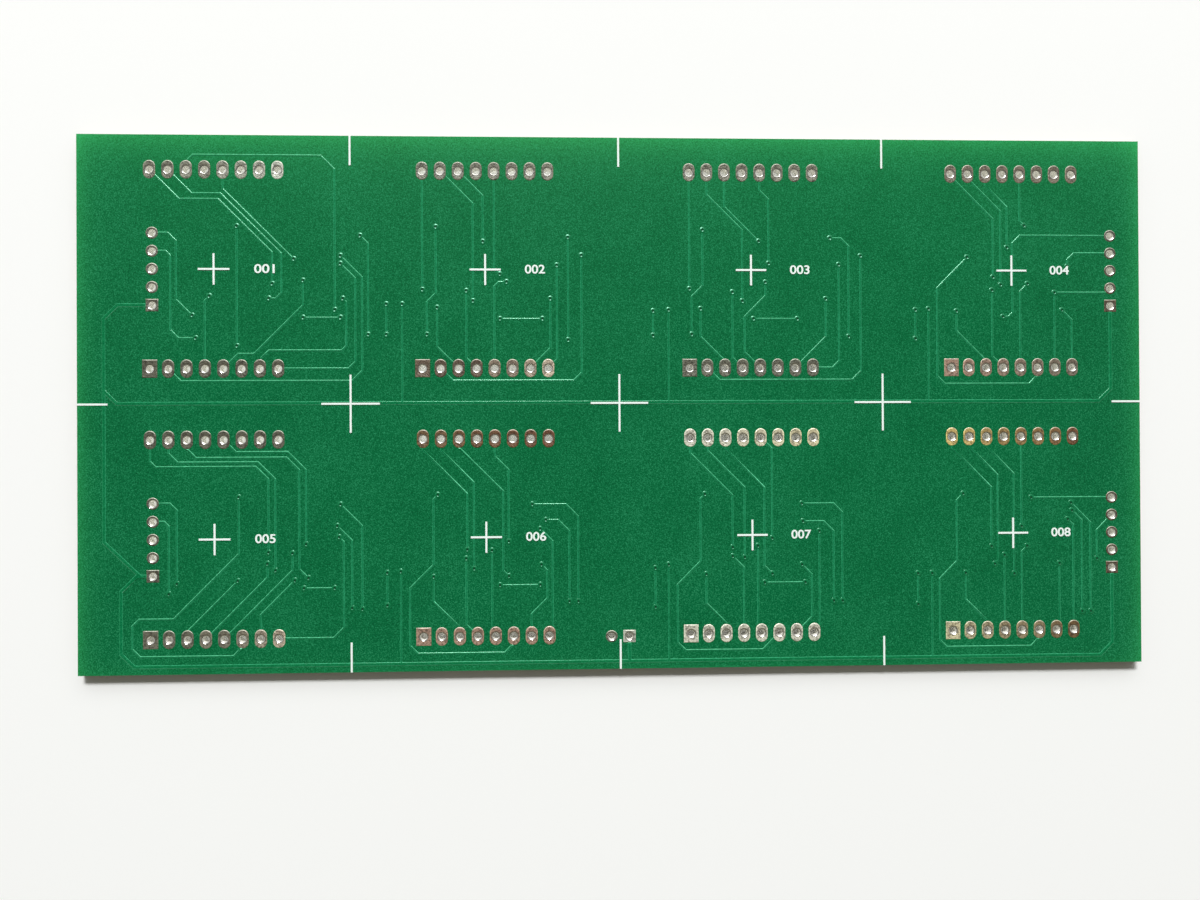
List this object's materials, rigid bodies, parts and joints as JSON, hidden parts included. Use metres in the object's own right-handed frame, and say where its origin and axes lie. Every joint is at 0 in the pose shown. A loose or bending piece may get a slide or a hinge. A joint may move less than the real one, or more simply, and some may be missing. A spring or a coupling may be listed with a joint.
{
  "type": "bare printed circuit board for a led dot matrix display",
  "caption": "Bare green two-layer circuit board with plated hole rows for a block of 8 x 8 LED dot-matrix modules, end headers, a power header, tracks, vias and white crosses.",
  "frame": {"origin": "below the middle of the board, in the plane of the back lands that it rests on", "axes": "+X along the board's length, +Y across it away from the power header, +Z out of the front that carries the modules"},
  "size_m": [0.1518, 0.0758, 0.0017],
  "materials": {
    "green_mask": "glossy",
    "tinned_copper": "satin",
    "masked_track": "glossy",
    "white_ink": "matte"
  },
  "bodies": {
    "root": {"board": "green_mask", "module_1_upper_holes": "tinned_copper", "module_1_lower_holes": "tinned_copper", "module_2_upper_holes": "tinned_copper", "module_2_lower_holes": "tinned_copper", "module_3_upper_holes": "tinned_copper", "module_3_lower_holes": "tinned_copper", "module_4_upper_holes": "tinned_copper", "module_4_lower_holes": "tinned_copper", "module_5_upper_holes": "tinned_copper", "module_5_lower_holes": "tinned_copper", "module_6_upper_holes": "tinned_copper", "module_6_lower_holes": "tinned_copper", "module_7_upper_holes": "tinned_copper", "module_7_lower_holes": "tinned_copper", "module_8_upper_holes": "tinned_copper", "module_8_lower_holes": "tinned_copper", "left_upper_header_holes": "tinned_copper", "left_lower_header_holes": "tinned_copper", "right_upper_header_holes": "tinned_copper", "right_lower_header_holes": "tinned_copper", "power_header_holes": "tinned_copper", "vias": "masked_track", "supply_tracks": "masked_track", "module_1_tracks": "masked_track", "module_2_tracks": "masked_track", "module_3_tracks": "masked_track", "module_4_tracks": "masked_track", "module_5_tracks": "masked_track", "module_6_tracks": "masked_track", "module_7_tracks": "masked_track", "module_8_tracks": "masked_track", "module_crosses": "white_ink", "corner_marks": "white_ink", "driver_1_lands": "tinned_copper", "driver_2_lands": "tinned_copper", "driver_3_lands": "tinned_copper", "driver_4_lands": "tinned_copper", "driver_5_lands": "tinned_copper", "driver_6_lands": "tinned_copper", "driver_7_lands": "tinned_copper", "driver_8_lands": "tinned_copper"}
  },
  "joints": []
}
